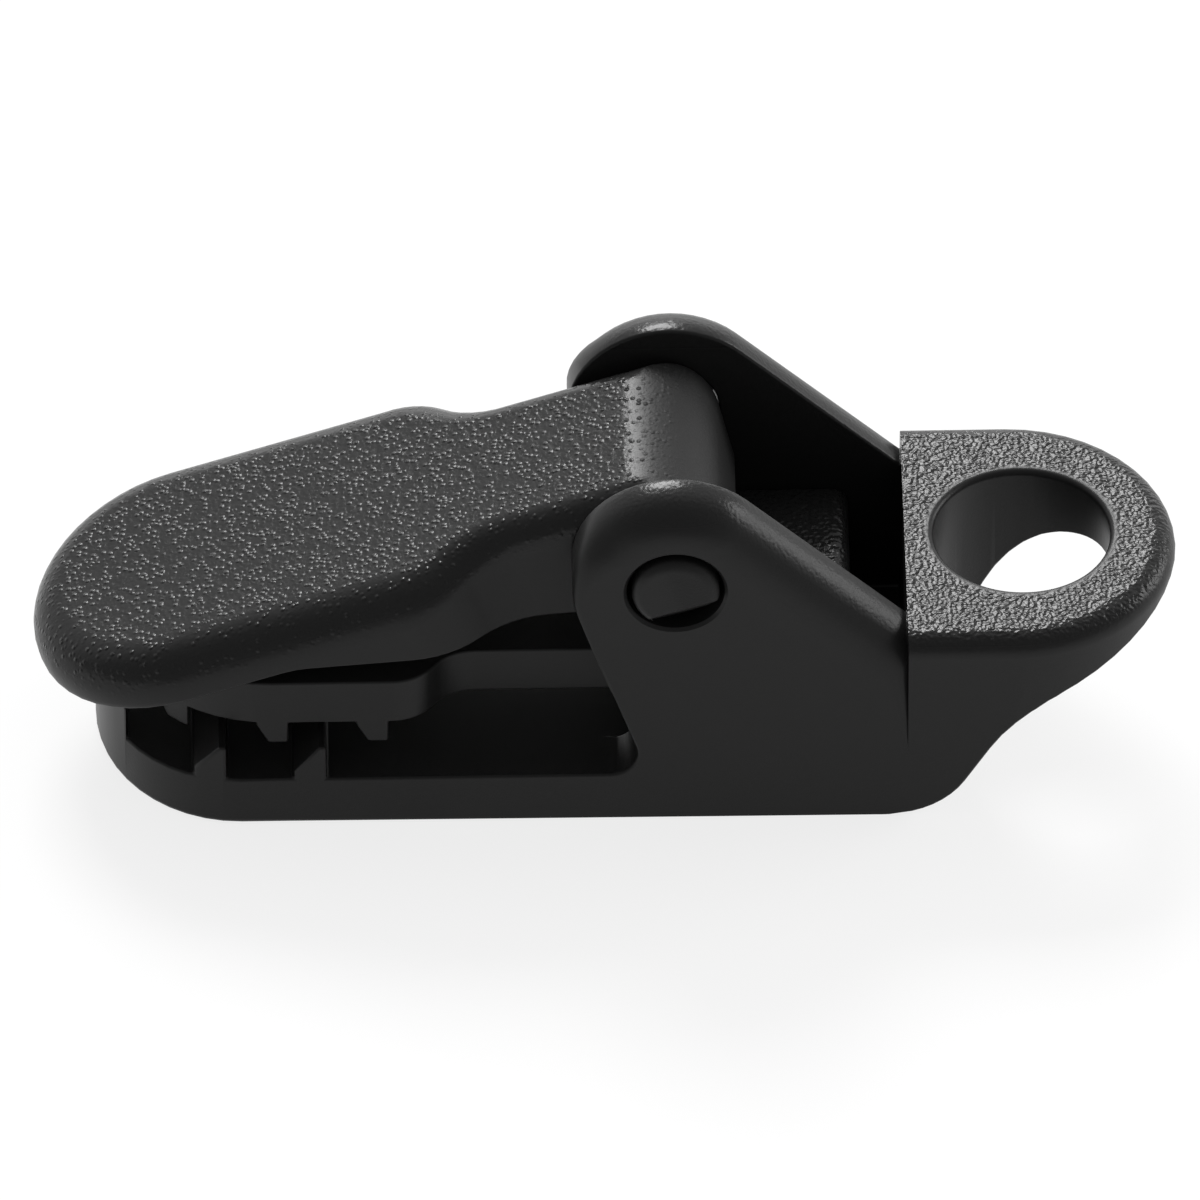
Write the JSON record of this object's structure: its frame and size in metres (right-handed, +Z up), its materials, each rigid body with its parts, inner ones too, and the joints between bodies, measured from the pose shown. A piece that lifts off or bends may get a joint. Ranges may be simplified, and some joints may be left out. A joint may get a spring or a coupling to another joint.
{
  "type": "tarp clip",
  "caption": "Moulded clip that grips the edge of a sheet between toothed jaws, with a thumb lever whose cam presses the upper jaw and an eye at the rear for a rope.",
  "frame": {"origin": "centre of the bounding box, on the flat underside of the lower jaw", "axes": "+X from the mouth to the rope eye, along the longest extent; +Y across the clip; +Z up, from the lower jaw to the lever"},
  "size_m": [0.055, 0.0168, 0.0195],
  "materials": {
    "black_nylon": "black moulded nylon, satin on the sides and finely grained on the top faces"
  },
  "bodies": {
    "body": {"body": "black_nylon"},
    "clamp_jaw": {"clamp_jaw": "black_nylon"},
    "cam_lever": {"cam_lever": "black_nylon"}
  },
  "joints": [
    {"name": "lever_hinge", "type": "hinge", "parent": "body", "child": "cam_lever", "pos_m": [0.0033, 0, 0.0146], "axis": [0, 1, 0], "range_deg": [0, 110]},
    {"name": "jaw_hinge", "type": "hinge", "parent": "body", "child": "clamp_jaw", "pos_m": [0.00945, 0, 0.0036], "axis": [0, 1, 0], "range_deg": [0, 11]}
  ],
  "couplings": [
    {"joint": "jaw_hinge", "follows": "lever_hinge", "ratio": 0.1}
  ]
}
